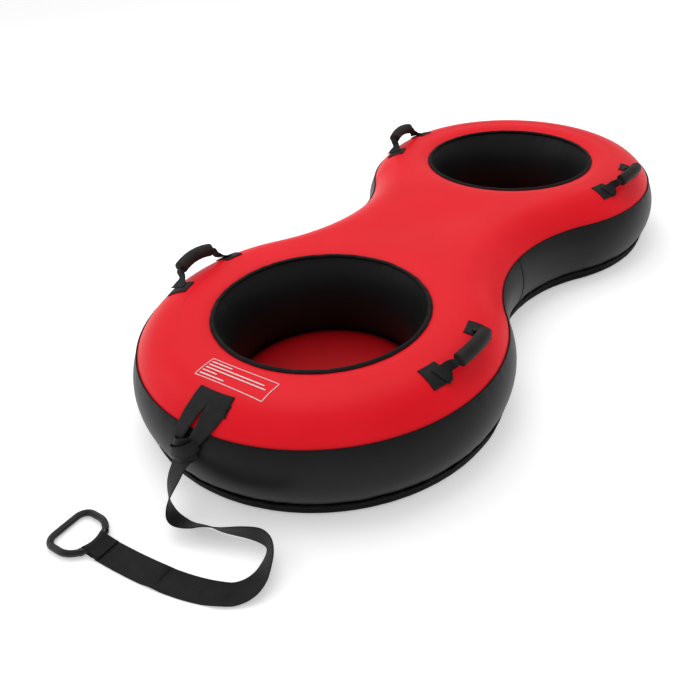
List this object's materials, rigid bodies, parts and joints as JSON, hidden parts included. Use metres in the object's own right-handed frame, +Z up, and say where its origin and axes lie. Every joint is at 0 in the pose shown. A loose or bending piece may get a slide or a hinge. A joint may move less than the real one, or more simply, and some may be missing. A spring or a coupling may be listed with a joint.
{
  "type": "towable tube",
  "caption": "Figure-of-eight towable tube for two riders: padded cover over an air bladder, round seat wells, carrying handles and a tow strap with a D handle.",
  "frame": {"origin": "middle of the tube's base, on the surface it rests on", "axes": "+Z up, +Y from the towing end to the stern, +X to starboard"},
  "size_m": [0.8058, 1.9646, 0.2535],
  "materials": {
    "red_cover": "coated woven cloth, satin",
    "black_cover": "coated woven cloth, satin",
    "base_cloth": "tarpaulin, matt",
    "piping": "cloth-covered cord",
    "red_floor": "cloth over foam",
    "binding": "woven tape",
    "bladder_vinyl": "smooth vinyl",
    "valve_plastic": "moulded",
    "valve_rubber": "moulded",
    "zip_tape": "woven",
    "zip_teeth": "coil",
    "zip_metal": "painted black",
    "webbing": "ribbed woven webbing",
    "grip_foam": "closed-cell foam",
    "handle_plastic": "moulded, semi-gloss"
  },
  "bodies": {
    "root": {"top_panel": "red_cover", "front_side_panel": "black_cover", "rear_side_panel": "black_cover", "bottom_panel": "base_cloth", "base_hem": "base_cloth", "top_seam_cord": "piping", "front_well_wall": "black_cover", "rear_well_wall": "black_cover", "front_seat_floor": "red_floor", "rear_seat_floor": "red_floor", "front_rim_binding": "binding", "rear_rim_binding": "binding", "bladder": "bladder_vinyl", "valve_base": "valve_plastic", "valve_diaphragm": "valve_rubber", "zip_tape": "zip_tape", "zip_chain": "zip_teeth", "tow_patch": "webbing", "tow_loop_port_leg": "webbing", "tow_loop_starboard_leg": "webbing", "tow_strap_hitch": "webbing", "tow_strap": "webbing", "tow_strap_fold": "webbing", "front_left_handle_first_tab": "webbing", "front_left_handle_second_tab": "webbing", "front_right_handle_first_tab": "webbing", "front_right_handle_second_tab": "webbing", "rear_left_handle_first_tab": "webbing", "rear_left_handle_second_tab": "webbing", "rear_right_handle_first_tab": "webbing", "rear_right_handle_second_tab": "webbing"},
    "front_left_handle": {"front_left_handle_strap": "webbing", "front_left_handle_grip": "grip_foam"},
    "front_right_handle": {"front_right_handle_strap": "webbing", "front_right_handle_grip": "grip_foam"},
    "rear_left_handle": {"rear_left_handle_strap": "webbing", "rear_left_handle_grip": "grip_foam"},
    "rear_right_handle": {"rear_right_handle_strap": "webbing", "rear_right_handle_grip": "grip_foam"},
    "tow_handle": {"handle_loop": "webbing", "tow_handle": "handle_plastic"},
    "valve_cap": {"valve_cap": "valve_plastic"},
    "zip_slider": {"zip_slider": "zip_metal"},
    "zip_pull": {"zip_pull": "zip_metal"}
  },
  "joints": [
    {"name": "front_left_handle_swing", "type": "hinge", "parent": "root", "child": "front_left_handle", "pos_m": [-0.33025, -0.46692, 0.21445], "axis": [0.0209, -0.9998, 0], "range_deg": [-79, 55]},
    {"name": "front_right_handle_swing", "type": "hinge", "parent": "root", "child": "front_right_handle", "pos_m": [0.33025, -0.46692, 0.21445], "axis": [0.0209, 0.9998, 0], "range_deg": [-97, 37]},
    {"name": "rear_left_handle_swing", "type": "hinge", "parent": "root", "child": "rear_left_handle", "pos_m": [-0.32952, 0.43696, 0.21445], "axis": [0.0698, -0.9976, 0], "range_deg": [-79, 55]},
    {"name": "rear_right_handle_swing", "type": "hinge", "parent": "root", "child": "rear_right_handle", "pos_m": [0.32952, 0.43696, 0.21445], "axis": [0.0698, 0.9976, 0], "range_deg": [-97, 37]},
    {"name": "tow_handle_lift", "type": "hinge", "parent": "root", "child": "tow_handle", "pos_m": [-0.0677, -1.045, 0.0027], "axis": [0, 1, 0], "range_deg": [0, 90]},
    {"name": "valve_cap_turn", "type": "hinge", "parent": "root", "child": "valve_cap", "pos_m": [0, 0.8669, 0.094], "axis": [0, 1, 0], "range_deg": [0, 90]},
    {"name": "zip_slider_run", "type": "hinge", "parent": "root", "child": "zip_slider", "pos_m": [0, 0.46, 0.094], "axis": [0, 0, 1], "range_deg": [-51.5, 0]},
    {"name": "zip_pull_swing", "type": "hinge", "parent": "zip_slider", "child": "zip_pull", "pos_m": [-0.39847, 0.56009, 0.094], "axis": [0, 0, 1], "range_deg": [0, 160]}
  ]
}
